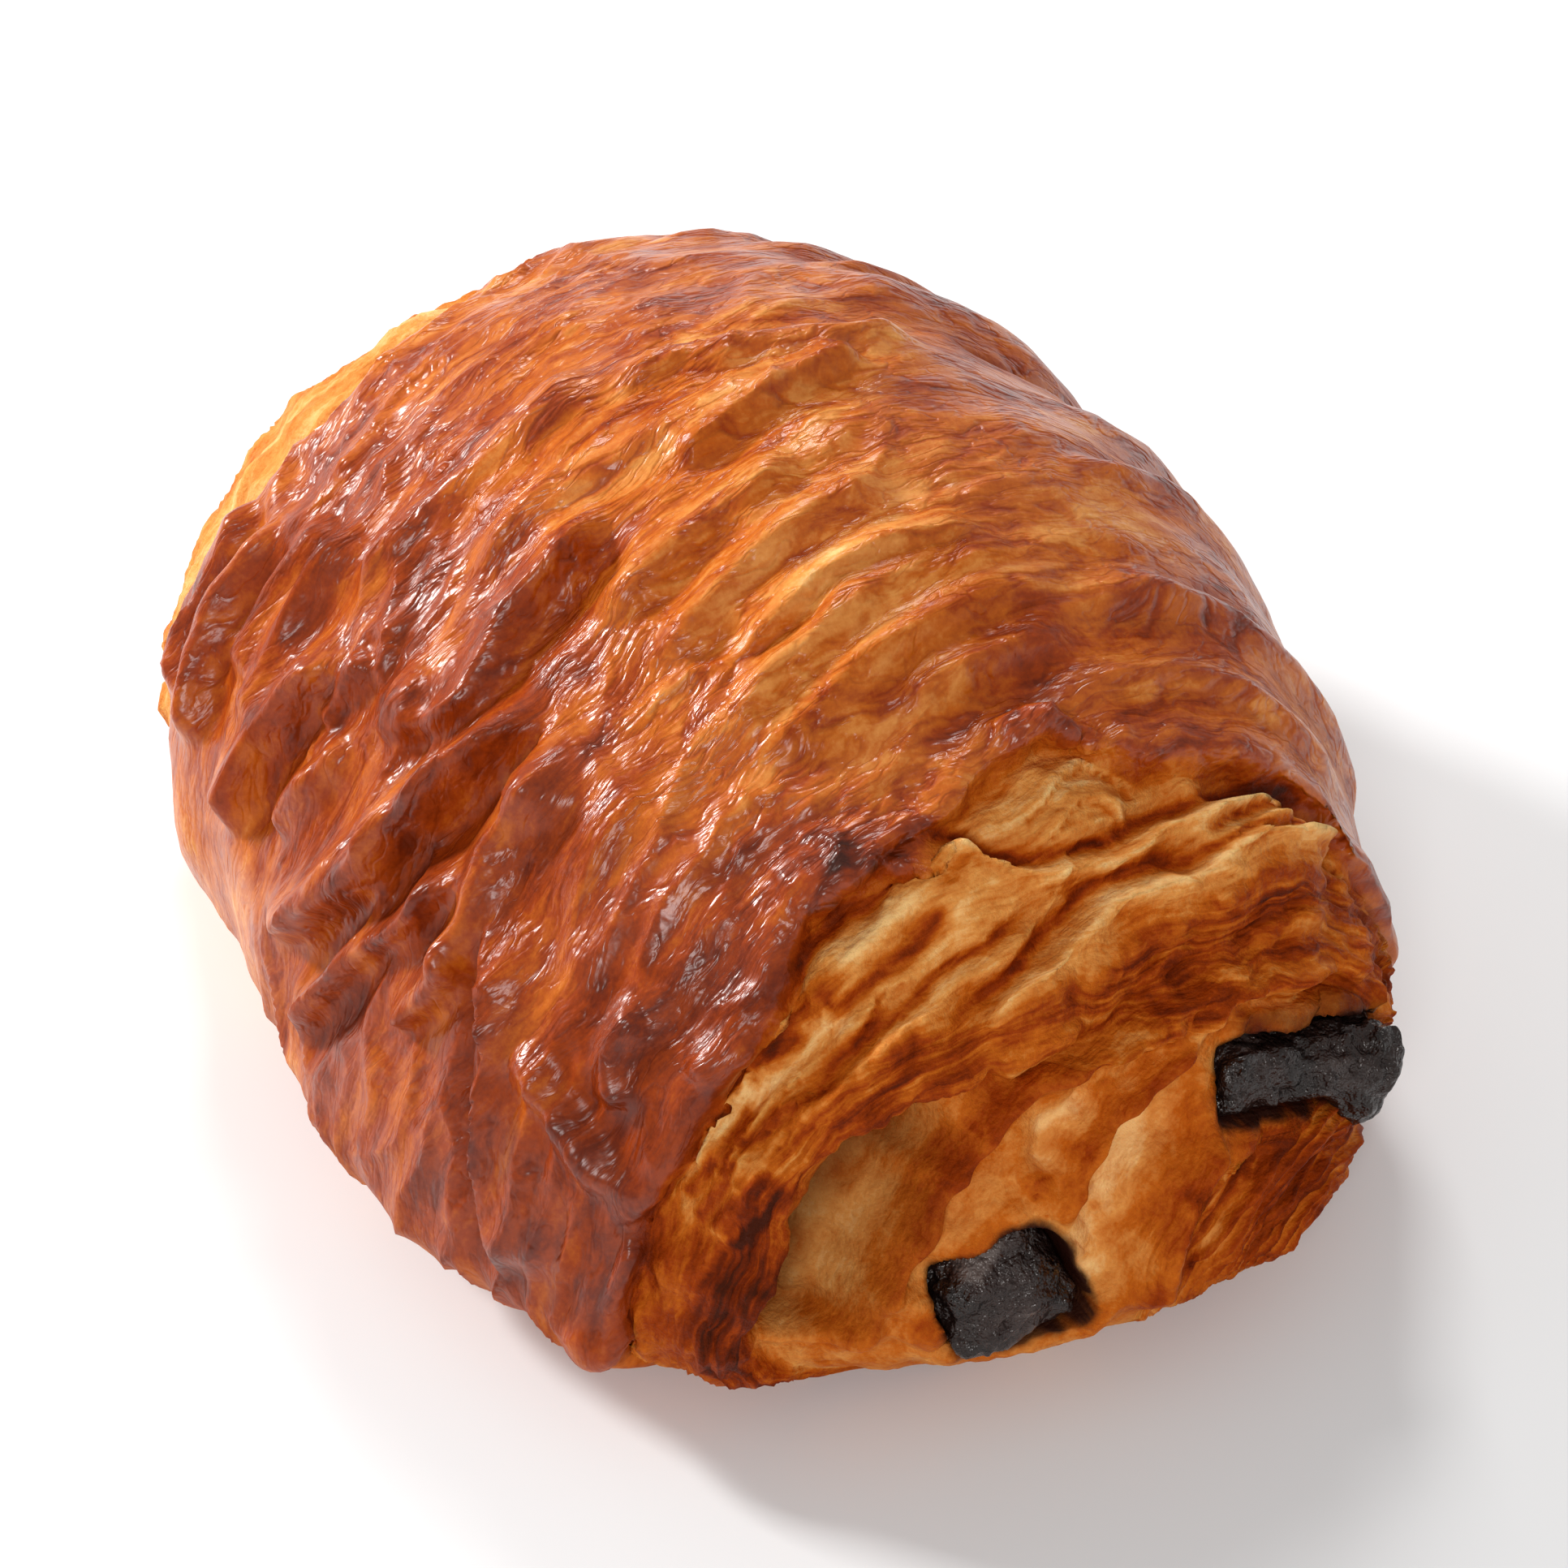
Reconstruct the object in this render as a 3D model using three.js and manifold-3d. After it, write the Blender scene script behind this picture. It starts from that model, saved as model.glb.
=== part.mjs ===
// Pain au chocolat: a sheet of laminated dough rolled round two chocolate batons and baked.
// Millimetres, +Z up. +X runs along the roll, to the end where the batons stand out, and +Y runs across it.
// The origin is on the surface that the pastry rests on, below the middle of its box.

import * as THREE from 'three';
import { mergeVertices } from 'three/addons/utils/BufferGeometryUtils.js';
import Module from 'manifold-3d';

const wasm = await Module();
wasm.setup();

// The dough's plain form: a dome on a rounded oblong, widest a little above the surface it rests on.
const dough = {
  halfLength: 47.4, // the wraps' steps bring each end in from here
  halfWidth: 36.3,
  widestLevel: 9.3,
  rise: 41,
  tuck: 15, // how far the form would reach below its widest level if nothing cut it flat
  planPower: 2.4,
  domePower: 1.9,
  taper: 0.05, // wider towards +X
  lean: 0.03, // the crest stands a little towards +Y
};

// Where each wrap of the dough ends, as a share of the half length. Past its edge the next wrap lies lower.
const wraps = [
  { edge: 0.63, sway: 0.02, swayTurns: 2, step: 1.4 },
  { edge: 0.8, sway: 0.015, swayTurns: 3, step: 1.3 },
  { edge: -0.595, sway: 0.025, swayTurns: 2, step: 1.4 },
  { edge: -0.79, sway: 0.015, swayTurns: 3, step: 1.2 },
];
const edgeSoftness = 0.035;
const underside = -0.2; // the share of the rise below which the surface stays plain

// Folds that cross the roll: height, place along the half length, breadth, and drift as the fold goes round.
const folds = [
  { height: 0.9, along: 0.3, breadth: 0.06, drift: 0.1 },
  { height: 0.7, along: 0.08, breadth: 0.05, drift: 0.16 },
  { height: 0.8, along: -0.18, breadth: 0.06, drift: 0.2 },
  { height: 0.7, along: -0.42, breadth: 0.05, drift: 0.12 },
];

const doughMesh = { around: 66, alongRows: 50, rowsToEnds: 0.3 };

// The batons lie along the roll. The right one has softened and spread, so its section is wider and flatter.
const baton = { length: 86, edgeRadius: 1.4, bevelSteps: 2, cornerSteps: 4 };
const rightBaton = { nearEnd: 45.2, across: 13.6, level: 18.2, width: 14.6, depth: 5.8, tilt: -20 };
const leftBaton = { nearEnd: 46.4, across: -9.6, level: 12.4, width: 9.8, depth: 8.2, tilt: 18 };
const batonClearance = 0.35;

const crust = new THREE.MeshStandardMaterial({ color: 0xb0611f, roughness: 0.42, metalness: 0 });
const darkChocolate = new THREE.MeshStandardMaterial({ color: 0x1c1210, roughness: 0.5, metalness: 0 });

const degrees = THREE.MathUtils.degToRad;

// The plain form's point in a direction from the middle of its widest level.
function formPoint(direction) {
  const { halfLength, halfWidth, rise, tuck, planPower, domePower } = dough;
  const plan = Math.abs(direction.x / halfLength) ** planPower + Math.abs(direction.y / halfWidth) ** planPower;
  const height = Math.abs(direction.z / (direction.z > 0 ? rise : tuck)) ** domePower;
  const reach = (plan ** (domePower / planPower) + height) ** (-1 / domePower);
  return direction.clone().multiplyScalar(reach);
}

// How far the surface stands out of the plain form at the folds, less how far it lies in past the wraps' edges.
// The underside has no relief.
function relief(along, turn, heightShare) {
  let out = 0;
  for (const { edge, sway, swayTurns, step } of wraps) {
    const edgeHere = edge + sway * Math.sin(swayTurns * turn);
    const past = (along - edgeHere) * Math.sign(edge);
    out -= step * THREE.MathUtils.smoothstep(past, -edgeSoftness, edgeSoftness);
  }
  const onTop = Math.max(0, Math.cos(turn));
  for (const { height, along: place, breadth, drift } of folds) {
    const away = (along - place - drift * Math.sin(turn)) / breadth;
    out += height * onTop * Math.exp(-away * away);
  }
  return out * THREE.MathUtils.smoothstep(heightShare, underside, 0.1);
}

// A unit sphere with its poles on X, its rows drawn towards the two ends, moved onto the dough's form.
function doughSolid() {
  const ball = new THREE.SphereGeometry(1, doughMesh.around, doughMesh.alongRows);
  ball.rotateZ(-Math.PI / 2);
  ball.deleteAttribute('normal');
  ball.deleteAttribute('uv');
  const closed = mergeVertices(ball, 1e-4);
  const places = closed.getAttribute('position');
  const direction = new THREE.Vector3();
  for (let i = 0; i < places.count; i++) {
    direction.fromBufferAttribute(places, i);
    const fromPole = Math.acos(THREE.MathUtils.clamp(direction.x, -1, 1));
    const turn = Math.atan2(direction.y, direction.z);
    const drawn = fromPole - doughMesh.rowsToEnds * 0.5 * Math.sin(2 * fromPole);
    direction.set(Math.cos(drawn), Math.sin(drawn) * Math.sin(turn), Math.sin(drawn) * Math.cos(turn));
    const point = formPoint(direction);
    const out = relief(point.x / dough.halfLength, turn, point.z / dough.rise);
    point.multiplyScalar(1 + out / point.length());
    point.y = point.y * (1 + (dough.taper * point.x) / dough.halfLength) + dough.lean * point.z;
    places.setXYZ(i, point.x, point.y, Math.max(0, point.z + dough.widestLevel));
  }
  return solidFrom(closed);
}

// A baton's section: an oblong with well rounded corners, leaning with the dough's turn.
// The shape's x is across the roll and its y is up.
function batonSection({ across, level, width, depth, tilt }, grow) {
  const [halfWidth, halfDepth] = [width / 2 + grow, depth / 2 + grow];
  const corner = halfDepth * 0.55;
  const lean = degrees(tilt);
  const corners = [[1, 1, 0], [-1, 1, 90], [-1, -1, 180], [1, -1, 270]];
  const section = new THREE.Shape();
  for (const [sideY, sideZ, startAngle] of corners) {
    const y = sideY * (halfWidth - corner);
    const z = sideZ * (halfDepth - corner);
    const middleY = across + y * Math.cos(lean) - z * Math.sin(lean);
    const middleZ = level + y * Math.sin(lean) + z * Math.cos(lean);
    const start = degrees(startAngle) + lean;
    section.absarc(middleY, middleZ, corner, start, start + Math.PI / 2, false);
  }
  return section;
}

// A baton drawn out along the roll. A clearance also lengthens it, so that it cuts right through the dough.
function batonSolid(place, clearance = 0) {
  const bevel = clearance > 0 ? 0 : baton.edgeRadius;
  const overrun = clearance > 0 ? 12 : 0;
  const bar = new THREE.ExtrudeGeometry(batonSection(place, clearance - bevel), {
    depth: baton.length - 2 * bevel + 2 * overrun,
    steps: 1,
    curveSegments: baton.cornerSteps,
    bevelEnabled: bevel > 0,
    bevelThickness: bevel,
    bevelSize: bevel,
    bevelSegments: baton.bevelSteps,
  });
  // The shape's x, y and depth become the part's Y, Z and X.
  const turned = new THREE.Matrix4().makeBasis(
    new THREE.Vector3(0, 1, 0),
    new THREE.Vector3(0, 0, 1),
    new THREE.Vector3(1, 0, 0),
  );
  bar.applyMatrix4(turned);
  bar.translate(place.nearEnd - baton.length + bevel - overrun, 0, 0);
  bar.deleteAttribute('normal');
  bar.deleteAttribute('uv');
  return solidFrom(mergeVertices(bar, 1e-3));
}

function solidFrom(geometry) {
  return new wasm.Manifold(
    new wasm.Mesh({
      numProp: 3,
      vertProperties: geometry.getAttribute('position').array,
      triVerts: new Uint32Array(geometry.index.array),
    }),
  );
}

function meshFrom(solid, name, material) {
  const made = solid.getMesh();
  const geometry = new THREE.BufferGeometry();
  geometry.setAttribute('position', new THREE.BufferAttribute(made.vertProperties, 3));
  geometry.setIndex(new THREE.BufferAttribute(made.triVerts, 1));
  geometry.computeVertexNormals();
  const mesh = new THREE.Mesh(geometry, material);
  mesh.name = name;
  return mesh;
}

function bakedDough() {
  const rightTunnel = batonSolid(rightBaton, batonClearance);
  const leftTunnel = batonSolid(leftBaton, batonClearance);
  return doughSolid().subtract(rightTunnel).subtract(leftTunnel);
}

const pastry = new THREE.Group();
pastry.add(
  meshFrom(bakedDough(), 'baked_dough', crust),
  meshFrom(batonSolid(rightBaton), 'chocolate_baton_right', darkChocolate),
  meshFrom(batonSolid(leftBaton), 'chocolate_baton_left', darkChocolate),
);

const middle = new THREE.Box3().setFromObject(pastry).getCenter(new THREE.Vector3());
pastry.position.set(-middle.x, -middle.y, 0);

export default pastry;
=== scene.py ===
import itertools
import math
from types import SimpleNamespace

import bmesh
import bpy
import numpy as np
from mathutils import Matrix, Vector


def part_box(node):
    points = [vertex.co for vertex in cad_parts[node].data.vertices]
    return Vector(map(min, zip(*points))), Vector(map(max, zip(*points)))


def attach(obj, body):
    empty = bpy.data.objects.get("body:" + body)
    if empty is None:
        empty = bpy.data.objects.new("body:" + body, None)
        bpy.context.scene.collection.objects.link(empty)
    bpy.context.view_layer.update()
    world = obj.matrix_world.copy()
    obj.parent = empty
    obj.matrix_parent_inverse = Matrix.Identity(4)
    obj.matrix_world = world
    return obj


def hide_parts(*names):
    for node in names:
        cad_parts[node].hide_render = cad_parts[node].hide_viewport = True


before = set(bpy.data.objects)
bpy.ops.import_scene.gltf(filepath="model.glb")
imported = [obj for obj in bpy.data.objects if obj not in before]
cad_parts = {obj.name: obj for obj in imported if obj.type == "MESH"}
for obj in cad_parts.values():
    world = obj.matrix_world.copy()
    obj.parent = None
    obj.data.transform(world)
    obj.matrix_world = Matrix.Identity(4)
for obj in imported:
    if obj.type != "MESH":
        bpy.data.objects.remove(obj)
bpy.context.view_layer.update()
mm = 0.001

doughLow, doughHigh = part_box("baked_dough")
rightLow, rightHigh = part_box("chocolate_baton_right")
leftLow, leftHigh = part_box("chocolate_baton_left")
print("frame: dough", [round(v, 4) for v in [*doughLow, *doughHigh]])


def smoothStep(low, high, value):
    share = np.clip((value - low) / (high - low), 0, 1)
    return share * share * (3 - 2 * share)


def bump(value, middle, reach):
    # 1 at its middle, fading to nothing on both sides
    return np.exp(-((value - middle) / reach) ** 2)


def spot(along, turn, place, reach):
    # a round patch on the skin: place and reach are (share of the half length, degrees)
    return np.exp(-(((along - place[0]) / reach[0]) ** 2 + ((turn - place[1]) / reach[1]) ** 2))


def noise(points, seed):
    # smooth lumps one unit across, about -1 to 1
    rng = np.random.default_rng(seed)
    slopes = rng.normal(size=(4096, 3))
    slopes /= np.linalg.norm(slopes, axis=1)[:, None]
    cell = np.floor(points).astype(np.int64)
    inside = points - cell
    fade = inside ** 3 * (inside * (inside * 6 - 15) + 10)
    total = np.zeros(len(points))
    for corner in itertools.product((0, 1), repeat=3):
        at = cell + corner
        pick = (at[:, 0] * 73856093 ^ at[:, 1] * 19349663 ^ at[:, 2] * 83492791) & 4095
        share = np.prod(np.where(np.array(corner) == 1, fade, 1 - fade), axis=1)
        total += share * np.einsum("ij,ij->i", slopes[pick], inside - corner)
    return total * 1.5


def layered(points, seed, octaves=3, gain=0.5):
    total = np.zeros(len(points))
    weight = 1.0
    for i in range(octaves):
        total += weight * noise(points * 2 ** i, seed + i)
        weight *= gain
    return total


def crests(points, seed, sharpness=2.0):
    # thin lines at 1, broad hollows at 0
    return np.clip(1 - np.abs(noise(points, seed)) * 1.6, 0, 1) ** sharpness


# The dough's form is a dome on a rounded oblong. Lengths are in mm unless a note says otherwise.
dough = {
    "around": 720,          # columns round the roll
    "rows": 470,            # rows from end to end
    "quickShare": 0.6,      # of both, while trying things
    "triangles": 197000,
    "rowsToEnds": 0.3,      # how far the rows are drawn towards the ends
    "halfWidth": 36.3,
    "widestLevel": 9.3,
    "tuck": 15.0,           # how far the dome would reach below its widest level
    "endRoom": 2.1,         # what the sheets' steps take off each end
    "planPower": 2.4,
    "domePower": 1.9,
    "taper": 0.05,
    "lean": 0.03,
    "aboveDome": 0.5,       # what the folds add to its height
    "leanShift": 0.4,       # how far the lean moves the middle of its box
    "skinRadius": 33,       # for turning degrees round the roll into mm
    "pitDepth": 5.0,        # of the dough's openings round the batons' ends
}

doughMiddleX = (doughLow.x + doughHigh.x) / 2 / mm
doughHalfLength = (doughHigh.x - doughLow.x) / 2 / mm
doughRise = (doughHigh.z - doughLow.z) / mm - dough["widestLevel"] - dough["aboveDome"]
doughOffsetY = (doughLow.y + doughHigh.y) / 2 / mm - dough["leanShift"]
mmPerDegree = math.radians(1) * dough["skinRadius"]

# Where each sheet ends: (degrees round from the crest, share of the half length).
outerEdge = [
    (-180, 0.63), (-98, 0.64), (-90, 0.685), (-79, 0.685), (-71, 0.683), (-60, 0.695), (-50, 0.695),
    (-43, 0.69), (-35, 0.67), (-30, 0.643), (-26, 0.653), (-18, 0.66), (-10, 0.645), (-3, 0.622),
    (4, 0.611), (8, 0.622), (11, 0.648), (15, 0.675), (21, 0.68), (32, 0.697), (42, 0.712), (51, 0.73),
    (62, 0.735), (75, 0.72), (95, 0.69), (180, 0.63),
]
brownEdge = [
    (-180, 0.75), (-90, 0.785), (-62, 0.785), (-52, 0.779), (-42, 0.782), (-29, 0.804), (-17, 0.837),
    (-6, 0.85), (8, 0.838), (17, 0.83), (28, 0.812), (46, 0.784), (66, 0.75), (95, 0.74), (180, 0.75),
]
secondEdge = [
    (-180, 0.83), (-90, 0.84), (-72, 0.842), (-63, 0.831), (-47, 0.826), (-35, 0.854), (-21, 0.885),
    (-13, 0.893), (8, 0.915), (22, 0.911), (33, 0.903), (50, 0.88), (76, 0.85), (100, 0.84), (180, 0.83),
]
farEdge = [
    (-180, 0.45), (-100, 0.3), (-92, 0.42), (-85, 0.46), (-78, 0.5), (-72, 0.56), (-66, 0.6), (-60, 0.61),
    (-52, 0.6), (-45, 0.585), (-38, 0.6), (-30, 0.585), (-22, 0.6), (-15, 0.62), (-5, 0.655), (5, 0.64),
    (15, 0.62), (30, 0.64), (45, 0.62), (60, 0.66), (75, 0.63), (95, 0.6), (180, 0.45),
]
farSecondEdge = [
    (-180, 0.78), (-60, 0.8), (-30, 0.82), (0, 0.83), (30, 0.81), (60, 0.83), (100, 0.8), (180, 0.78),
]


def formDistance(direction):
    # how far the plain dome reaches in each direction from the middle of its widest level
    plan = (np.abs(direction[:, 0] / (doughHalfLength + dough["endRoom"])) ** dough["planPower"]
            + np.abs(direction[:, 1] / dough["halfWidth"]) ** dough["planPower"])
    reachUp = np.where(direction[:, 2] > 0, doughRise, dough["tuck"])
    height = np.abs(direction[:, 2] / reachUp) ** dough["domePower"]
    return (plan ** (dough["domePower"] / dough["planPower"]) + height) ** (-1 / dough["domePower"])


def sheetDistances(point, along, turn):
    # mm past each sheet's edge, towards the end that the edge faces; the edges wander a little
    def across(size, place):
        return np.stack([np.full(len(point), place), point[:, 1] / size, point[:, 2] / size], 1)

    def pastEdge(share, edge, wander):
        at = np.interp(turn, [degrees for degrees, _ in edge], [place for _, place in edge])
        return (share - at - wander) * doughHalfLength

    nearWander = 0.012 * layered(across(5, 3.0), 11, 3)
    farWander = 0.014 * noise(across(8, 7.0), 15)
    return SimpleNamespace(
        outer=pastEdge(along, outerEdge, nearWander),
        brown=pastEdge(along, brownEdge, nearWander),
        second=pastEdge(along, secondEdge, nearWander),
        far=pastEdge(-along, farEdge, farWander),
        farSecond=pastEdge(-along, farSecondEdge, farWander),
    )


# How each sheet ends: it drops to the sheet inside, with a thick lip and a hollow at the foot of the drop.
sheetEnds = {
    "outer": {"drop": 1.5, "lip": 0.75, "foot": 0.55, "swell": 0.7},
    "second": {"drop": 0.7, "lip": 0.3, "ledgeDrop": 0.9, "ledgeLip": 0.6},
    "brown": {"lip": 0.5},
    "far": {"drop": 1.4, "lip": 0.6, "foot": 0.5, "swell": 0.9},
    "farSecond": {"drop": 1.2, "lip": 0.7},
    "lipUneven": 0.5,
}


def sheetRelief(point, past, turn):
    # values that depend on the turn fade out at the poles, where all turns meet
    fromPole = smoothStep(3, 11, np.hypot(point[:, 1], point[:, 2]))
    turnOnly = np.stack([turn / 9, np.zeros(len(turn)), np.zeros(len(turn))], 1)
    lipSize = 1 + sheetEnds["lipUneven"] * fromPole * noise(turnOnly, 21)
    ledge = smoothStep(5, -20, turn) * fromPole
    end = sheetEnds["outer"]
    step = -end["drop"] * smoothStep(-0.5, 0.35, past.outer) * lipSize
    step += end["lip"] * bump(past.outer, -1.3, 1.3) * lipSize
    step -= end["foot"] * bump(past.outer, 0.9, 0.8)
    step += end["swell"] * bump(past.outer, 5.0, 3.0)
    end = sheetEnds["second"]
    step += -(end["drop"] + end["ledgeDrop"] * ledge) * smoothStep(-0.45, 0.45, past.second)
    step += (end["lip"] + end["ledgeLip"] * ledge) * bump(past.second, -1.0, 1.1)
    step += sheetEnds["brown"]["lip"] * bump(past.brown, 0, 0.8)
    end = sheetEnds["far"]
    step += -end["drop"] * smoothStep(-0.5, 0.4, past.far) * lipSize
    step += end["lip"] * bump(past.far, -1.3, 1.3)
    step -= end["foot"] * bump(past.far, 0.9, 0.8)
    step += end["swell"] * bump(past.far, 5.0, 3.2)
    end = sheetEnds["farSecond"]
    step += -end["drop"] * smoothStep(-0.6, 0.6, past.farSecond)
    step += end["lip"] * bump(past.farSecond, -1.2, 1.4)
    return step


def softRelief(past):
    # the same steps run out softly near the base, so that the foot stays smooth
    soft = -1.5 * smoothStep(-4, 4, past.outer) - 1.0 * smoothStep(-4, 4, past.second)
    soft -= 1.4 * smoothStep(-4, 4, past.far) + 1.2 * smoothStep(-4, 4, past.farSecond)
    return soft


# Broad bulges and pinches low on the left side: height, place and reach as in spot().
leftBulges = [
    (-2.6, (-0.3, -98), (0.26, 20)),
    (1.0, (-0.42, -66), (0.2, 13)),
    (1.2, (-0.43, -84), (0.09, 9)),
    (0.8, (0.3, -92), (0.3, 12)),
]


def curved(points, rounds=2):
    # cuts the corners off a line, keeping its ends
    line = np.array(points, float)
    for _ in range(rounds):
        near = line[:-1] * 0.75 + line[1:] * 0.25
        far = line[:-1] * 0.25 + line[1:] * 0.75
        middle = np.empty((2 * len(near), line.shape[1]))
        middle[0::2] = near
        middle[1::2] = far
        line = np.vstack([line[:1], middle[1:-1], line[-1:]])
    return line


def lineMask(place, path, fade=0.17):
    # distance in mm to a line drawn on the skin, which side of it, and 0 to 1 as it fades in at its ends
    best = np.full(len(place), 1e9)
    side = np.zeros(len(place))
    steps = np.linalg.norm(np.diff(path, axis=0), axis=1)
    for start, end, length in zip(path[:-1], path[1:], steps):
        run = (end - start) / length
        offset = place - start
        t = np.clip(offset @ run, 0, length)
        away = offset - t[:, None] * run
        distance = np.hypot(away[:, 0], away[:, 1])
        closer = distance < best
        best = np.where(closer, distance, best)
        side = np.where(closer, offset[:, 0] * run[1] - offset[:, 1] * run[0], side)
    reach = fade * steps.sum()
    ends = np.ones(len(place))
    for tip, inward in ((path[0], path[1] - path[0]), (path[-1], path[-2] - path[-1])):
        offset = place - tip
        passed = smoothStep(0, reach, offset @ (inward / np.linalg.norm(inward)))
        ends *= np.maximum(passed, smoothStep(reach, 2 * reach, np.hypot(offset[:, 0], offset[:, 1])))
    return best, side, ends


# Folds in the skin: kind, height, width, and a line of (per cent of the half length, degrees round).
# "crest" is a thin crest between hollows, "fold" is rounded, "step" is high on its right.
skinFolds = [
    ("crest", 2.4, 2.2, [(-16, -46), (-20, -51), (-22.5, -55), (-24.5, -60), (-24.5, -66), (-23, -72)]),
    ("fold", 1.5, 2.0, [(-7, -52), (-12, -60), (-16, -67)]),
    ("crest", 3, 2.6, [(20, -34), (14, -42), (11.5, -49), (9.6, -55), (7.5, -60), (3.5, -65), (-1, -70),
        (-6, -74), (-11, -78)]),
    ("crest", 1.9, 2.4, [(1, -18), (2.5, -23), (4, -27), (4.2, -31), (6, -35), (7.5, -40), (3, -44),
        (-3, -49)]),
    ("fold", 1, 1.4, [(-3, -49), (-2.8, -45), (-1.5, -41)]),
    ("fold", 2.4, 2.8, [(28, -36), (25, -42), (25, -46), (26, -50), (27.5, -54), (27.5, -59), (25, -62)]),
    ("crest", 1.8, 1.8, [(24, -50), (20, -57), (17.5, -61), (12.4, -66.5), (8.5, -73), (4.5, -79),
        (3, -84)]),
    ("crest", 1.4, 1.4, [(31, -58), (28, -63), (25.5, -67), (22, -71)]),
    ("step", 2.6, 2.6, [(30, -52), (33, -57), (37.5, -60), (41, -63), (41.5, -67), (42.8, -71), (44, -75),
        (46, -79), (49, -83), (51, -89)]),
    ("crest", 1.3, 1.6, [(40, -69), (38, -65), (37, -60)]),
    ("fold", 1.5, 1.8, [(44, -60), (49, -62), (55, -64.5), (61, -67), (65.5, -70)]),
    ("fold", 1.3, 1.6, [(57, -49), (55, -53), (57, -57), (60, -60)]),
    ("fold", -1.1, 1.4, [(67, -70), (66, -76), (65, -84), (66, -92)]),
    ("crest", 1.5, 1.8, [(-57, -44), (-55, -50), (-54, -56), (-53, -62), (-48, -68)]),
    ("crest", 1.7, 1.9, [(-47, -43), (-47, -50), (-46, -57), (-44, -63), (-38, -69)]),
    ("fold", 1.5, 2.0, [(-37, -38), (-38, -45), (-37, -51), (-34, -58)]),
    ("fold", 1.7, 2.2, [(-30, -36), (-31, -42), (-31, -48), (-30, -55), (-31, -62)]),
    ("crest", 1.3, 1.6, [(-12, -44), (-14, -50), (-15, -54)]),
    ("fold", 1.3, 2.2, [(-22, -10), (-20, -18), (-20, -26), (-22, -34), (-24, -42)]),
    ("fold", 1.2, 2.4, [(-4, 2), (-4, -8), (-5, -16), (-7, -24), (-9, -32)]),
    ("crest", 1.4, 1.8, [(-2, 12), (-1, 4), (1, -4), (3, -12)]),
    ("fold", 1.4, 2.2, [(-9, 22), (-8, 12), (-11, 4), (-14, -4), (-17, -12)]),
    ("fold", 1.3, 2.4, [(12, -2), (13, -10), (14, -18), (16, -26)]),
    ("fold", 1.3, 2.0, [(20, 4), (21, -3), (22, -10), (24, -18), (27, -26)]),
    ("crest", 1.2, 1.6, [(33, 10), (31, 2), (30, -5), (32, -12), (34, -20)]),
    ("fold", 1.4, 2.2, [(37, 12), (36, 6), (34, 0), (36, -8), (38, -16), (40, -25)]),
    ("fold", 1, 1.6, [(43, 16), (42, 8), (42, 0), (43, -8), (45, -16), (46, -24)]),
    ("fold", 0.87, 1.4, [(50, 14), (49, 6), (49, -2), (51, -10)]),
    ("fold", 1.3, 4.5, [(-26, 16), (-25, 28), (-22, 40), (-20, 60), (-20, 85)]),
    ("fold", 1.0, 3.4, [(4, 30), (5, 42), (6, 54), (7, 75), (6, 90)]),
    ("fold", -1.2, 2.0, [(-12, 28), (-11, 36), (-10, 48), (-10, 70)]),
    ("fold", 1.2, 2.0, [(24, 22), (23, 32), (22, 44), (24, 60), (24, 80)]),
    ("fold", 1.3, 2.0, [(45, 12), (45, 22), (46, 34), (48, 48), (50, 66), (50, 84)]),
    ("fold", 0.87, 1.5, [(57, 8), (56, 18), (58, 30), (61, 44), (63, 60)]),
    ("crest", 1.3, 1.5, [(57.5, -3), (57, 2), (59, 5), (62.5, 8), (66, 11)]),
    ("fold", 0.8, 2.2, [(-48, 18), (-46, 32), (-45, 50), (-46, 72), (-45, 90)]),
    ("fold", 1.2, 1.8, [(-35, 20), (-35, 40), (-34, 62), (-36, 85)]),
    ("crest", 0.8, 1.6, [(-55, 10), (-56, 25), (-54, 45), (-56, 70)]),
]

# Sheets and ridges on the bared layers near the front end; a "flake" lifts off them.
bandFolds = [
    ("flake", 1.8, 1.2, [(68, -29), (66.4, -22), (65, -17), (67.2, -11), (71.5, -8), (73.8, -3), (75, 4),
        (74.4, 13), (73, 23), (72.3, 38), (73.4, 53)]),
    ("flake", 1.5, 1.0, [(79, 13), (79.2, 19), (77.6, 24), (75.8, 37), (75, 54)]),
    ("flake", 2, 1.4, [(83.4, -26), (83.1, -20), (81.8, -12), (79.6, -1), (77.7, 7), (79, 15), (80, 22)]),
    ("flake", 1.2, 1.0, [(76.8, -50), (78.4, -40), (79, -30), (78.6, -19), (78.6, -12), (77.6, -4)]),
    ("flake", 1.1, 0.9, [(77, 20), (75.5, 28), (73.8, 40), (74.5, 50)]),
    ("fold", 0.8, 1.1, [(71.1, -38), (70.2, -30), (71.1, -22), (69.7, -15)]),
    ("fold", 0.8, 1.2, [(66, -52), (67.7, -46), (70.5, -38)]),
    ("fold", 0.7, 1.0, [(72.4, -62), (71.2, -55), (70.8, -51)]),
    ("fold", -0.8, 1.0, [(71.5, -60), (73.4, -52), (74.4, -45), (74.6, -36), (73.4, -28)]),
    ("fold", 0.6, 0.8, [(74, -68), (76, -60), (76.5, -55)]),
    ("fold", 0.5, 0.8, [(76, -70), (78, -62), (78, -56)]),
]

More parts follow.
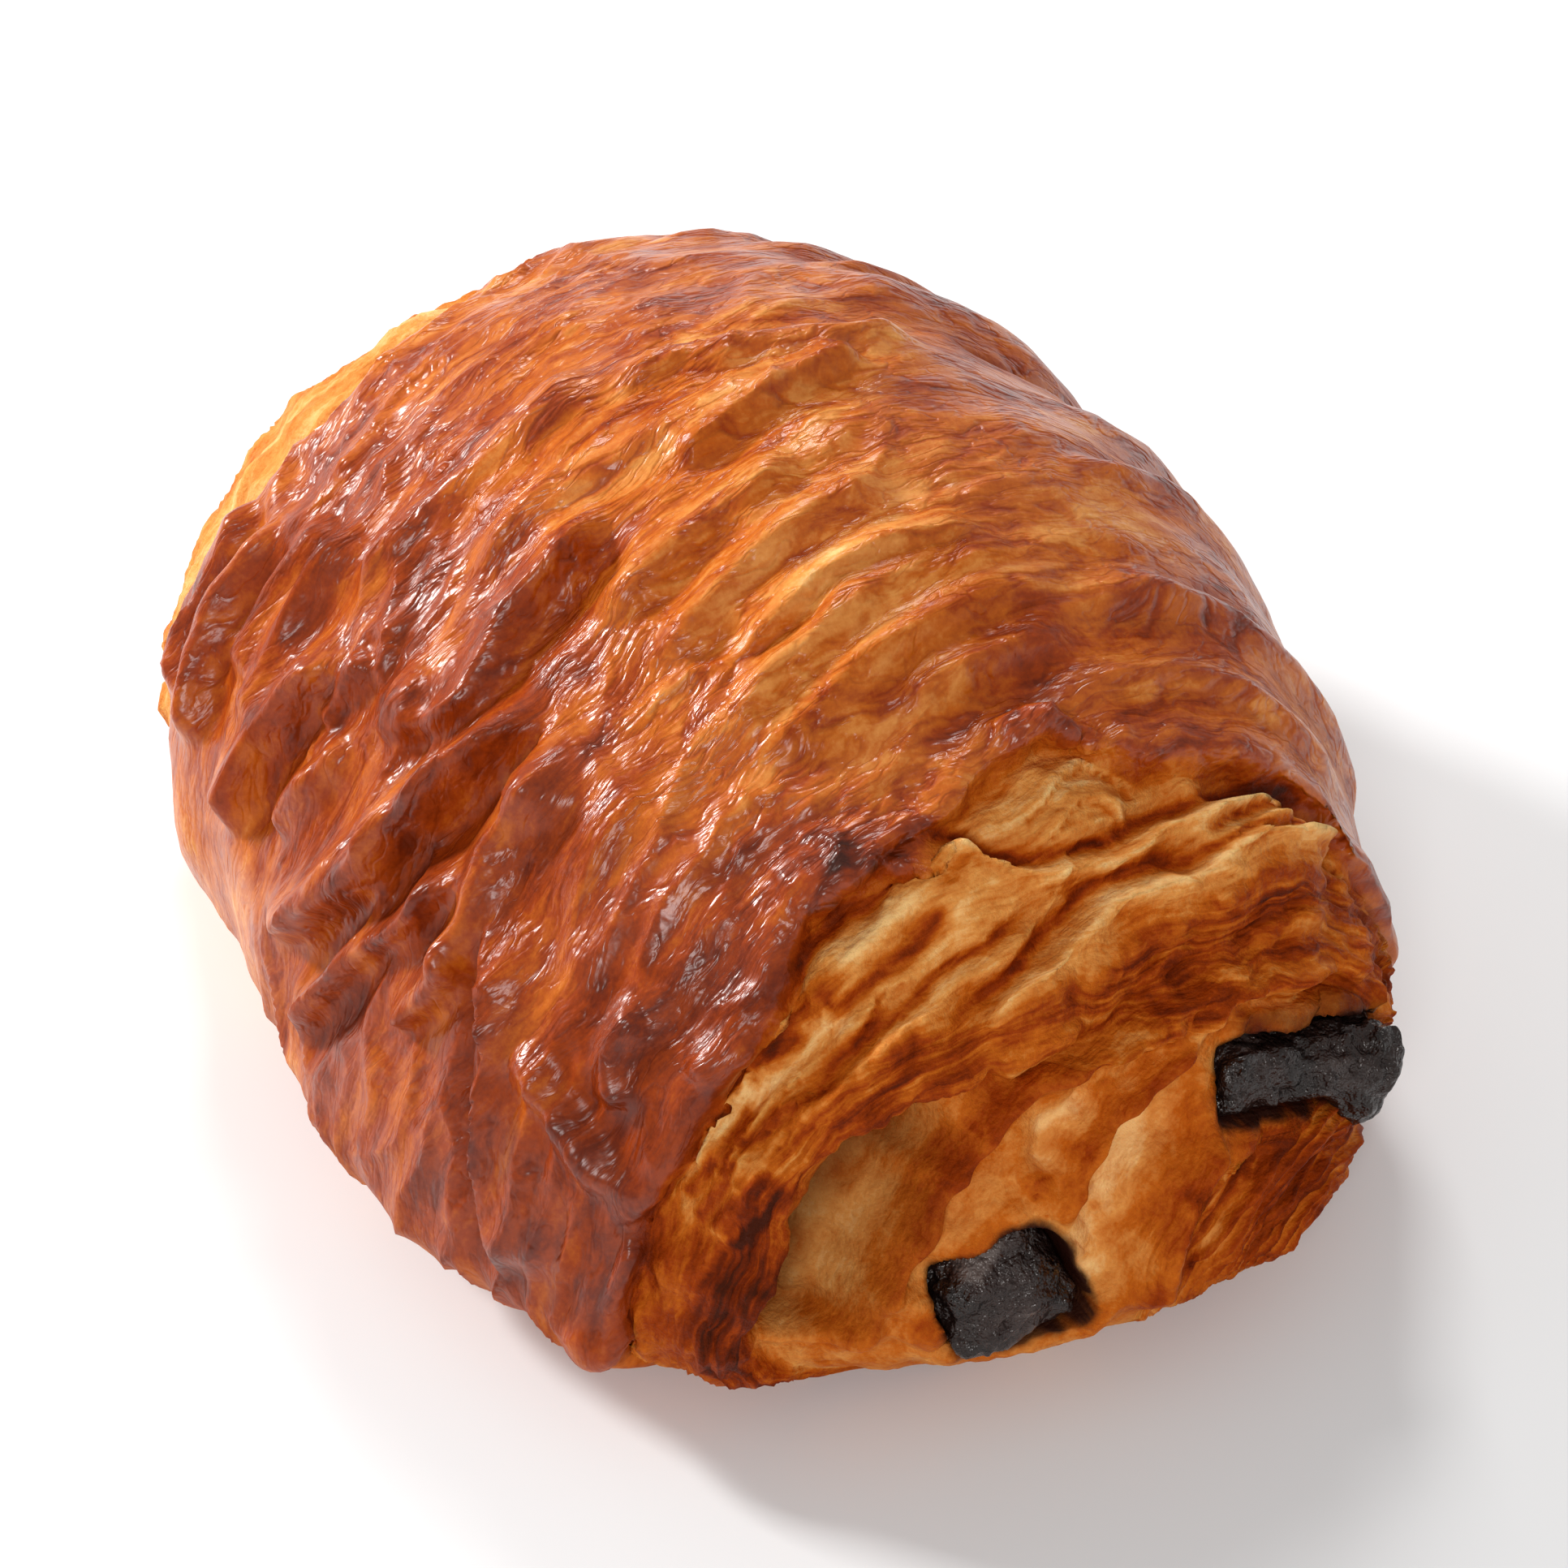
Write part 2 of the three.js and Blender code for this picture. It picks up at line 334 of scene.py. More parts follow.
# Ridges and hollows on the front end: height, width, tone (darker above 0), how much painted shade
# darkens it, and a line of (mm across, mm up) as seen along the roll.
endFolds = [
    (1.7, 1, 0.16, 0, [(-25, 11), (-22.5, 17), (-19.5, 22), (-16.5, 26), (-12, 27.6), (-6, 27.5)]),
    (-4.5, 2.5, -0.08, 0.68, [(-21.5, 9), (-20.6, 13), (-19.4, 17), (-17.6, 20.4), (-14.8, 22.9), (-12, 24),
        (-9.6, 24.6)]),
    (-2.2, 2, -0.1, 0.34, [(-18.8, 10), (-17.2, 15.4), (-14.6, 18.8), (-11.9, 21.6)]),
    (2.1, 0.85, 0.2, 0, [(-18.6, 6), (-17.4, 10.5), (-15, 15), (-12, 19.4), (-9.6, 22.8), (-6.8, 24.9),
        (-4.4, 25.9), (0, 26.3), (6, 25.8)]),
    (-1.4, 1.4, -0.05, 0, [(-14.6, 12.5), (-12, 17), (-8.8, 21), (-6.8, 22.4)]),
    (-1.5, 1.1, -0.24, 0, [(-5.6, 19), (-5.2, 21.5), (-3.8, 22.8), (-1.6, 23.4)]),
    (2.2, 0.77, 0.2, 0, [(-4.4, 15.5), (-4.2, 18), (-2.9, 20.2), (-1, 21.8), (1.2, 23.2), (3.6, 24.3),
        (6.2, 24.8)]),
    (-2.5, 1.7, -0.3, 0, [(-3, 9.5), (-3, 13), (-2.6, 16.5), (-1.2, 19.2), (1, 20.6), (4.6, 20.8)]),
    (2.4, 1.1, 0.14, 0, [(-0.2, 7.5), (-0.4, 11.5), (1.2, 15), (3.6, 17.6), (6, 18.6)]),
    (-0.65, 0.6, 0.1, 0, [(1.8, 9), (3.4, 13), (7.2, 15.6), (12, 15.6)]),
    (0.78, 0.8, 0.0, 0, [(3.8, 8), (5.6, 12.2), (9.4, 14.4), (15, 14)]),
    (-0.65, 0.6, 0.1, 0, [(6.2, 7), (8, 11), (12, 12.6), (17, 11.8)]),
    (0.65, 0.7, 0.0, 0, [(8.6, 6.5), (11, 9.5), (15, 10.6), (19, 9.6)]),
    (1.8, 0.77, -0.14, 0, [(2.4, 25.6), (5.4, 25.4), (8, 26.2), (12, 25.6), (17, 23.6), (22, 20.6)]),
    (-1, 0.7, 0.08, 0, [(-8, 26.4), (-3, 27.6), (3, 28.2), (8, 28.4), (13, 28)]),
    (0.91, 0.7, -0.1, 0, [(-6, 25.4), (-1, 27), (5, 27.3), (10, 27.6)]),
]


def foldProfile(kind, distance, signed, width):
    # how a fold rises beside its line, and where the hollow that belongs to it lies
    if kind == "crest":
        flank = np.where(signed > 0, width * 0.32, width * 0.95)
        rise = bump(distance, 0, flank) - 0.4 * bump(signed, width * 0.95, width * 0.6)
        return rise, bump(signed, width * 0.8, width * 0.5)
    if kind == "fold":
        return bump(distance, 0, width * 0.62), bump(distance, width * 1.3, width * 0.6)
    if kind == "step":
        edge = smoothStep(-width * 0.16, width * 0.16, signed)
        rise = edge * np.exp(-np.clip(signed, 0, None) / (width * 2))
        rise = rise - 0.2 * np.exp(-(signed / width + 0.6) ** 2 * 4)
        return rise, bump(signed, -width * 0.3, width * 0.4)
    edge = smoothStep(width * 0.25, -width * 0.1, signed)
    rise = edge * np.exp(-np.clip(-signed, 0, None) / (width * 1.8))
    return rise - 0.35 * bump(signed, width * 0.5, width * 0.4), bump(signed, width * 0.45, width * 0.35)


def drawFolds(flatPlace, bend, onSkin):
    count = len(flatPlace)
    drawn = SimpleNamespace(out=np.zeros(count), sideways=np.zeros(count), crest=np.zeros(count),
                            hollow=np.zeros(count))
    scale = np.array([doughHalfLength / 100, mmPerDegree])
    for folds, shown in ((skinFolds, onSkin), (bandFolds, np.ones(count))):
        for kind, height, width, points in folds:
            line = curved(np.array(points) * scale)
            margin = width * 4
            near = np.all((flatPlace > line.min(0) - margin) & (flatPlace < line.max(0) + margin), axis=1)
            where = np.nonzero(near)[0]
            distance, side, ends = lineMask(flatPlace[where] + bend[where], line)
            signed = np.where(side < 0, distance, -distance)
            rise, hollow = foldProfile(kind, distance, signed, width)
            if kind == "flake":
                drawn.sideways[where] += 0.35 * width * bump(signed, 0, width * 0.4) * ends
            drawn.out[where] += height * rise * ends * shown[where]
            crest = bump(distance, 0, width * 0.35) * ends * shown[where]
            drawn.crest[where] = np.maximum(drawn.crest[where], crest)
            drawn.hollow[where] = np.maximum(drawn.hollow[where], hollow * ends * shown[where])
    return drawn


def drawEndFolds(endPlace, bend, atFront):
    count = len(endPlace)
    drawn = SimpleNamespace(out=np.zeros(count), tone=np.zeros(count), stainAndShade=np.zeros(count))
    for height, width, tone, darkening, points in endFolds:
        distance, _, ends = lineMask(endPlace + bend, curved(points))
        ends = ends * atFront
        ridge = bump(distance, 0, width) * ends
        drawn.out += height * ridge
        drawn.tone += tone * bump(distance, 0, width * 1.15) * ends
        # painted shade: the deep pockets take the stain colour, standing in for the shade inside them
        drawn.stainAndShade = np.maximum(drawn.stainAndShade, darkening * ridge)
    return drawn


# Seeded wrinkles round the roll, in mm: strong on the left, finer over the top, calm on the right.
wrinkles = {
    "big": 0.42,
    "middle": 0.34,
    "fine": 0.13,
    "bigOnLeft": 0.3,        # these three are added on the left
    "middleOnLeft": -0.06,
    "fineOnLeft": -0.05,
    "calmOnRight": 0.6,      # share taken off there
    "blisters": 0.35,
    "sunk": 0.35,            # lowers the skin, so that the wrinkles stay round the plain form
    "knob": 1.5,             # the dark knob beside the outer sheet's edge
}


def skinRelief(point, flow, along, turn):
    onLeft = smoothStep(-18, -42, turn)
    big = crests(flow / [4.6, 12, 1], 61, 2.4) - 0.42
    middle = crests(flow / [2.1, 6.5, 1], 62, 2.0) - 0.45
    fine = crests(flow / [0.85, 2.6, 1], 63, 1.6) - 0.5
    patches = smoothStep(-0.15, 0.4, noise(point / 8, 64))
    blistered = spot(along, turn, (0.6, -24), (0.09, 11)) + 0.7 * spot(along, turn, (-0.5, -30), (0.1, 12))
    blister = smoothStep(0.0, 0.5, noise(point / 1.5, 65)) * np.clip(blistered, 0, 1)
    wrinkle = (wrinkles["big"] + wrinkles["bigOnLeft"] * onLeft) * big
    wrinkle = wrinkle + (wrinkles["middle"] + wrinkles["middleOnLeft"] * onLeft) * (0.3 + patches) * middle
    wrinkle += (wrinkles["fine"] + wrinkles["fineOnLeft"] * onLeft) * (0.15 + patches) * fine
    calm = 1 - wrinkles["calmOnRight"] * smoothStep(6, 25, turn)
    knob = spot(along, turn, (0.615, -26), (0.045, 6)) * (wrinkles["knob"] + 0.5 * noise(point / 1.3, 67))
    return wrinkle * calm + wrinkles["blisters"] * blister - wrinkles["sunk"], knob, blister


# The batons, seen along the roll: middle, size and tilt in degrees.
batonPlaces = {
    "right": {"across": 13.6, "level": 18.8, "width": 14.6, "depth": 4.8, "tilt": -20},
    "left": {"across": -9.0, "level": 11.5, "width": 9.2, "depth": 8.6, "tilt": 18},
}
stainedPatch = {"across": 14.8, "level": 21.6, "width": 13.5, "depth": 1.6, "tilt": -22}


def batonDistance(place, across, up):
    # mm outside a baton's section; negative inside
    lean = math.radians(place["tilt"])
    y = across - place["across"]
    z = up - place["level"]
    flat = np.abs(y * math.cos(lean) + z * math.sin(lean)) - place["width"] / 2
    tall = np.abs(z * math.cos(lean) - y * math.sin(lean)) - place["depth"] / 2
    corner = place["depth"] * 0.33
    outside = np.hypot(np.maximum(flat + corner, 0), np.maximum(tall + corner, 0)) - corner
    return np.where((flat < -corner) & (tall < -corner), np.maximum(flat, tall), outside)


def gridNormals(points, rowCount, columnCount):
    # outward directions of a closed grid of points, rows from end to end
    grid = points.reshape(rowCount, columnCount, 3)
    around = np.roll(grid, -1, axis=1) - np.roll(grid, 1, axis=1)
    lengthways = np.gradient(grid, axis=0)
    normals = np.cross(around, lengthways)
    normals /= np.linalg.norm(normals, axis=2)[:, :, None] + 1e-9
    outward = np.sum(normals * (grid - grid.mean(axis=(0, 1))), axis=2)
    return (normals * np.where(outward.mean() < 0, -1, 1)).reshape(-1, 3)


# Bake of each part of the dough: 0 is the palest flake, 1 is burnt.
bakes = {
    "skin": 0.46,
    "skinPatches": 0.16,
    "skinStreaks": 0.09,
    "leftSide": 0.13,
    # painted light: the tops are painted paler, where the light falls on them
    "paintedTopLight": -0.17,
    "skinDarkest": 0.72,
    "knob": 0.2,
    "band": 0.31,
    "bandPatches": 0.14,
    "brownRing": 0.34,
    "farBand": 0.2,
    "end": 0.42,
    "endPatches": 0.14,
    "base": 0.36,
    "pores": 0.08,
}


def batonRoom(point, along, endPlace):
    # the pits round the batons' ends, a rim outside them, and the chocolate's stain
    pit = np.zeros(len(point))
    rim = np.zeros(len(point))
    stainAndShade = np.zeros(len(point))
    atEnd = smoothStep(0.6, 0.75, np.abs(along))
    across = endPlace[:, 0] * (1 + dough["taper"] * np.sign(along)) + dough["lean"] * point[:, 2]
    for place in batonPlaces.values():
        gap = batonDistance(place, across, endPlace[:, 1])
        pit = np.maximum(pit, smoothStep(0.1, -0.35, gap) * atEnd)
        rim = np.maximum(rim, bump(gap, 1.3, 0.9) * atEnd)
        stainAndShade = np.maximum(stainAndShade, smoothStep(0.7, 0.0, gap + 0.35 * noise(point / 1.6, 78)) * atEnd)
    return pit, rim, stainAndShade, across


def skinBake(point, turn, along, past, flow, patchPlace, folds, blister):
    # painted light: paler patches on the top, where the light falls
    paintedTopLightSpots = spot(along, turn, (-0.02, -4), (0.2, 17)) + 0.6 * spot(along, turn, (0.3, -10), (0.22, 20))
    tone = bakes["skin"] + bakes["skinPatches"] * layered(patchPlace / [7, 16, 16], 81, 3)
    tone += bakes["skinStreaks"] * layered(flow / [1.5, 9, 1], 82, 3)
    tone += bakes["leftSide"] * smoothStep(-14, -36, turn) + bakes["paintedTopLight"] * paintedTopLightSpots
    # darker along the fold crests and on blisters; painted shade in the hollows beside the folds
    tone += 0.06 * folds.crest + 0.05 * folds.hollow + 0.12 * blister
    tone += 0.12 * smoothStep(0.3, 0.6, along) * smoothStep(-28, -45, turn)
    tone += 0.12 * bump(past.outer, -1.4, 2.2) * smoothStep(-0.4, 0.4, noise(point / 6, 83))
    tone = np.minimum(tone, bakes["skinDarkest"])
    tone += bakes["knob"] * spot(along, turn, (0.62, -26), (0.05, 7))
    return tone


def bandBake(point, turn, past, folds, puffs, sheets, leaf, leafPatch, brown, ribs):
    tone = bakes["band"] + bakes["bandPatches"] * layered(point / [3, 6, 6], 84, 3) - 0.08 * puffs
    # painted shade in the hollow below each flake, and a painted highlight along its crest
    tone += 0.44 * folds.hollow ** 2 - 0.2 * folds.crest + 0.1 * (0.7 - sheets)
    # painted shade at the foot of each leaf's drop, and a little paler along its lip
    tone += leafPatch * (0.2 * smoothStep(0.2, 0.0, leaf) - 0.1 * bump(leaf, 0.86, 0.09))
    # painted shade just under the outer sheet's lip; the band is also darker low on the left
    tone += 0.22 * bump(past.outer, 0.2, 0.7) + 0.26 * smoothStep(-58, -78, turn)
    tone += (bakes["brownRing"] + 0.12 * noise(point / 5, 88)) * brown + 0.06 * ribs * brown
    return tone


def endBake(point, endPlace, endRidges, core, ribs):
    tone = bakes["end"] + bakes["endPatches"] * layered(point / [9, 3.5, 3.5], 86, 3)
    tone += 1.2 * endRidges.tone
    tone += 0.13 * core * (ribs + 0.7)
    tone += 0.1 * smoothStep(2, 8, endPlace[:, 0]) * smoothStep(24, 18, endPlace[:, 1])
    tone -= 0.12 * smoothStep(9, 5, endPlace[:, 1])
    return tone


# Relief of the bared layers, in mm.
layersRelief = {
    "ribs": 0.16,
    "coreRibs": 0.16,       # more of them round the core
    "ribSpacing": 0.75,
    "puffs": 0.6,
    "puffsSunk": 0.3,
    "sheets": 0.32,
    "leaves": 6,            # how many lie between the outer sheet's edge and the second's
    "leafLip": 0.5,
    "endLumps": 0.35,
    "pores": 0.16,
    "batonRim": 0.5,
    "stainedPatch": 1.2,
}
fullFront = 2.6             # mm that the middle of the front end swells by
sunkFront = 1.3             # and its low left side sinks by


def shapeDough(direction, rowCount, columnCount):
    turnRadians = np.arctan2(direction[:, 1], direction[:, 2])
    turn = np.degrees(turnRadians)
    point = direction * formDistance(direction)[:, None]
    heightShare = point[:, 2] / doughRise
    free = smoothStep(-0.62, 0.05, heightShare)
    along = point[:, 0] / (doughHalfLength + dough["endRoom"] * 0.45)
    broad = 0.55 * layered(point / [9, 14, 14], 31, 2)

    # the steps where each sheet ends, soft near the base and low on the far left
    past = sheetDistances(point, along, turn)
    lowFar = smoothStep(-64, -76, turn) * smoothStep(-0.05, -0.25, along) * smoothStep(-0.75, -0.6, along)
    crisp = smoothStep(-0.24, -0.04, heightShare) * (1 - lowFar)
    step = sheetRelief(point, past, turn) * crisp + softRelief(past) * (1 - crisp)
    point += direction * (step * free)[:, None]

    # the loose form: broad puffs, the low left side pinched in, and a full front end
    outward = gridNormals(point, rowCount, columnCount)
    pinch = sum(height * spot(along, turn, place, reach) for height, place, reach in leftBulges)
    point += outward * ((broad + pinch) * free)[:, None]
    level = point[:, 2] + dough["widestLevel"]
    fullEnd = fullFront * bump(point[:, 1], 10, 13) * smoothStep(27, 8, level)
    fullEnd -= sunkFront * bump(point[:, 1], -22, 7) * smoothStep(16, 2, level)
    point[:, 0] += fullEnd * smoothStep(0.62, 0.9, along)
    point[:, 1] -= 1.5 * smoothStep(12, 34, point[:, 1]) * smoothStep(0.1, 0.6, along)

    onSkin = smoothStep(0.4, -0.4, past.outer) * smoothStep(0.4, -0.4, past.far)
    inBand = smoothStep(-0.3, 0.5, past.outer) * smoothStep(0.5, -0.3, past.second)
    inFarBand = smoothStep(-0.3, 0.5, past.far) * smoothStep(0.5, -0.3, past.farSecond)
    onEnd = smoothStep(-0.3, 0.5, past.second)
    onFarEnd = smoothStep(-0.3, 0.5, past.farSecond)
    atFront = smoothStep(0.68, 0.8, along)

    # flatPlace is a map of the skin in mm, endPlace the view along the roll, flow follows the wrinkles
    flatPlace = np.stack([along * doughHalfLength, turn * mmPerDegree], 1)
    endPlace = np.stack([point[:, 1], point[:, 2] + dough["widestLevel"]], 1)
    bend = np.stack([noise(point / 4, 41), noise(point / 4, 42)], 1) * 0.35
    swirl = 5 * np.sin(turnRadians)
    drift = noise(point / 11, 51)
    flow = np.stack([flatPlace[:, 0] + swirl + 2.0 * drift + 0.7 * noise(point / 4, 52),
                     flatPlace[:, 1], np.zeros(len(point))], 1)
    patchPlace = np.stack([point[:, 0] + swirl + 1.6 * noise(point / 9, 51), point[:, 1], point[:, 2]], 1)

    folds = drawFolds(flatPlace, bend, onSkin)
    endRidges = drawEndFolds(endPlace, bend, atFront)
    skin, knob, blister = skinRelief(point, flow, along, turn)
    out = folds.out + onSkin * skin
    out += onSkin * knob

    # fine ribs along the sheets that end in the brown ring, and round the core low on the right
    layerMm = np.where(along > 0, past.second, past.farSecond) + 0.5 * noise(point / 6, 71)
    coreSide = smoothStep(-0.3, 1.2, endPlace[:, 0] - 0.25 * (endPlace[:, 1] - 10))
    core = coreSide * smoothStep(17.5, 15.5, endPlace[:, 1]) * atFront
    coreMm = np.hypot((endPlace[:, 0] - 14) / 1.15, endPlace[:, 1] - 4.5) + 0.6 * noise(point / 5, 79)
    layerMm = layerMm * (1 - core) + coreMm * core
    ribs = np.sin(layerMm * 2 * math.pi / layersRelief["ribSpacing"] + 2.2 * noise(point / 5, 72))
    brown = smoothStep(-0.7, 0.5, past.brown) * smoothStep(1.2, -0.3, past.second)
    brown = np.clip(brown + 0.4 * bump(past.farSecond, -1.1, 2.0), 0, 1)
    brown = np.maximum(brown, 0.75 * core)
    ribHeight = layersRelief["ribs"] + layersRelief["coreRibs"] * core
    out += ribHeight * ribs * brown * smoothStep(-0.2, 0.2, along)

    # puffs, thin sheets and leaves on the bared bands, grain on the ends
    puffs = smoothStep(-0.2, 0.8, noise(point / [2.6, 4.2, 4.2], 73))
    sheets = crests(flow / [1.1, 6.5, 1], 69, 2.2) + 0.5 * crests(flow / [0.7, 3.0, 1], 70, 1.6)
    puffed = layersRelief["puffs"] * puffs - layersRelief["puffsSunk"]
    out += (inBand + inFarBand) * (puffed + layersRelief["sheets"] * sheets + 0.1 * noise(point / 0.9, 74))
    bandShare = np.clip(past.outer / np.maximum(past.outer - past.second, 1), 0, 1)
    leaf = (bandShare * layersRelief["leaves"] + 1.2 * noise(point / [4, 7, 7], 91)) % 1
    leafLip = smoothStep(0.1, 0.85, leaf) * smoothStep(1.0, 0.92, leaf)
    leafPatch = inBand * smoothStep(-0.25, 0.25, noise(point / [5, 9, 9], 92)) * (1 - brown * 0.6)
    out += leafPatch * (layersRelief["leafLip"] * leafLip - 0.15)
    out += (onEnd + onFarEnd) * (layersRelief["endLumps"] * layered(point / 2.4, 75, 3))
    pores = smoothStep(0.42, 0.62, noise(point / [0.9, 1.3, 0.9], 76))
    pores = pores * smoothStep(-0.1, 0.3, noise(point / 7, 77))
    low = smoothStep(13, 7, endPlace[:, 1])
    porous = onEnd + inBand * low + onFarEnd + low * 0.6 * smoothStep(0.3, 0.5, np.abs(along))
    pores = pores * np.clip(porous, 0, 1)
    out -= layersRelief["pores"] * pores

    # room for the batons, and a stained patch above the right one
    pit, rim, stainAndShade, across = batonRoom(point, along, endPlace)
    patchGap = batonDistance(stainedPatch, across, endPlace[:, 1])
    patchStain = 0.6 * smoothStep(0.7, -0.6, patchGap + 0.6 * noise(point / 1.4, 80)) * atFront
    # real chocolate stain round the batons and above the right one, with the painted shade of the end's
    # pockets
    stainAndShade = np.maximum(np.maximum(stainAndShade, patchStain), endRidges.stainAndShade)
    out += layersRelief["batonRim"] * rim * atFront
    out *= smoothStep(-0.26, -0.05, heightShare) * (1 - 0.7 * lowFar)
    out += layersRelief["stainedPatch"] * smoothStep(0.9, -0.3, patchGap) * atFront * (1 - pit)

    # move the points: the skin outwards, the end's ridges all one way, the pits straight in
    outward = gridNormals(point, rowCount, columnCount)
    lengthways = np.array([1.0, 0.0, 0.0]) - outward * outward[:, :1]
    point += outward * out[:, None] + lengthways * (folds.sideways * free)[:, None]
    endOut = np.clip(endRidges.out, -4.2, 2.6) * (1 - pit)
    point[:, 0] += 0.94 * endOut
    point[:, 2] += 0.34 * endOut
    point[:, 0] -= np.sign(point[:, 0]) * dough["pitDepth"] * pit

    # taper, lean, and the flat underside
    taper = 1 + dough["taper"] * point[:, 0] / (doughHalfLength + dough["endRoom"])
    point[:, 1] = point[:, 1] * taper + dough["lean"] * point[:, 2]
    point[:, 2] = np.maximum(point[:, 2] + dough["widestLevel"], 0)
    point[:, 0] += doughMiddleX
    point[:, 1] += doughOffsetY

    # how brown each part is
    skinTone = skinBake(point, turn, along, past, flow, patchPlace, folds, blister)
    band = bandBake(point, turn, past, folds, puffs, sheets, leaf, leafPatch, brown, ribs)
    # a line of painted shade just under the far sheet's lip
    farBand = bakes["farBand"] + 0.1 * layered(point / [3, 6, 6], 85, 3) + 0.14 * bump(past.far, 0.3, 0.8)
    farBand += 0.4 * brown
    endTone = endBake(point, endPlace, endRidges, core, ribs)
    nearTone = band * (1 - onEnd) + endTone * onEnd
    farTone = farBand * (1 - onFarEnd) + endTone * onFarEnd
    tone = skinTone * onSkin + (1 - onSkin) * np.where(along > 0, nearTone, farTone)
    tone += bakes["pores"] * pores - 0.14 * lowFar * (1 - onFarEnd)
    nearBase = smoothStep(11, 3, endPlace[:, 1])
    tone = tone * (1 - 0.45 * nearBase) + bakes["base"] * 0.45 * nearBase
    tone += 0.08 * nearBase * layered(point / 2.5, 87, 3)
    glaze = onSkin * (1 - 0.85 * smoothStep(12, 5, endPlace[:, 1])) * (1 - 0.6 * folds.hollow)
    return point, {
        "tone": np.clip(tone, 0, 1),
        "glaze": np.clip(glaze, 0, 1),
        "stainAndShade": np.clip(stainAndShade, 0, 1),
        "layer": layerMm,
        "brownBand": np.maximum(brown, 0.42 * inBand),
        "skin": onSkin,
        "crinkle": 1 - 0.55 * smoothStep(-16, -40, turn),
    }


def newObject(name, data):
    piece = bpy.data.objects.new(name, data)
    bpy.context.scene.collection.objects.link(piece)
    return piece


def finishModifiers(piece):
    # makes the mesh what its modifiers show, and smooths its shading
    bpy.context.view_layer.update()
    finished = bpy.data.meshes.new_from_object(piece.evaluated_get(bpy.context.evaluated_depsgraph_get()))
    piece.modifiers.clear()
    piece.data = finished
    finished.name = piece.name
    finished.shade_smooth()
    return finished


def readPoints(mesh, what="co"):
    values = np.empty(len(mesh.vertices) * 3)
    mesh.vertices.foreach_get(what, values)
    return values.reshape(-1, 3)


def writeValue(mesh, name, values):
    attribute = mesh.attributes.new(name, "FLOAT", "POINT")
    attribute.data.foreach_set("value", values.astype(np.float32))


def makeDough():
    share = 1
    columnCount = int(dough["around"] * share)
    rowCount = int(dough["rows"] * share)
    ball = bmesh.new()
    bmesh.ops.create_uvsphere(ball, u_segments=columnCount, v_segments=rowCount, radius=1)
    bmesh.ops.rotate(ball, cent=(0, 0, 0), matrix=Matrix.Rotation(math.pi / 2, 3, "Y"), verts=ball.verts)
    mesh = bpy.data.meshes.new("dough")
    ball.to_mesh(mesh)
    ball.free()

    # each point's row and column, so that slopes can be read off the grid
    start = readPoints(mesh)
    row = np.rint(np.arccos(np.clip(start[:, 0], -1, 1)) / math.pi * rowCount).astype(int)
    turn = np.arctan2(start[:, 1], start[:, 2])
    column = np.rint((turn + math.pi) / (2 * math.pi) * columnCount).astype(int) % columnCount

    # rows are drawn towards the ends; the first and last are all but points
    rowAngle = np.arange(rowCount + 1) / rowCount * math.pi
    rowAngle[0] = 1e-4
    rowAngle[-1] = math.pi - 1e-4
    rowAngle = rowAngle - dough["rowsToEnds"] * 0.5 * np.sin(2 * rowAngle)
    columnAngle = np.arange(columnCount) / columnCount * 2 * math.pi - math.pi
    fromPole, turned = np.meshgrid(rowAngle, columnAngle, indexing="ij")
    reach = np.sin(fromPole)
    direction = np.stack([np.cos(fromPole), reach * np.sin(turned), reach * np.cos(turned)], 2)
    point, values = shapeDough(direction.reshape(-1, 3), rowCount + 1, columnCount)
    index = row * columnCount + column
    mesh.vertices.foreach_set("co", (point[index] * mm).ravel())
    for name, value in values.items():
        writeValue(mesh, name, value[index])
    mesh.update()
    print("dough: grid", columnCount, "by", rowCount)

    piece = newObject("dough", mesh)
    thin = piece.modifiers.new("thin", "DECIMATE")
    thin.ratio = min(1, dough["triangles"] / (2 * len(mesh.vertices)))
    thinned = finishModifiers(piece)
    print("dough:", len(thinned.polygons), "faces,", len(thinned.attributes), "attributes")
    return piece


batons = {
    "edge": 3.2,            # mm, but no more than a third of the depth
    "edgeShare": 0.33,
    "cutsAlong": 60,
    "cutsAcross": 7,
    "smoothness": 2,        # subdivision levels
    "lumps": 0.55,          # mm
    "pits": 0.2,
    "softEnd": 14,          # mm of the near end that softened in the oven
    "paintedHighlightFrom": 7,         # only a baton thicker than this gets the whitish painted highlight
    "seed": 400,
}


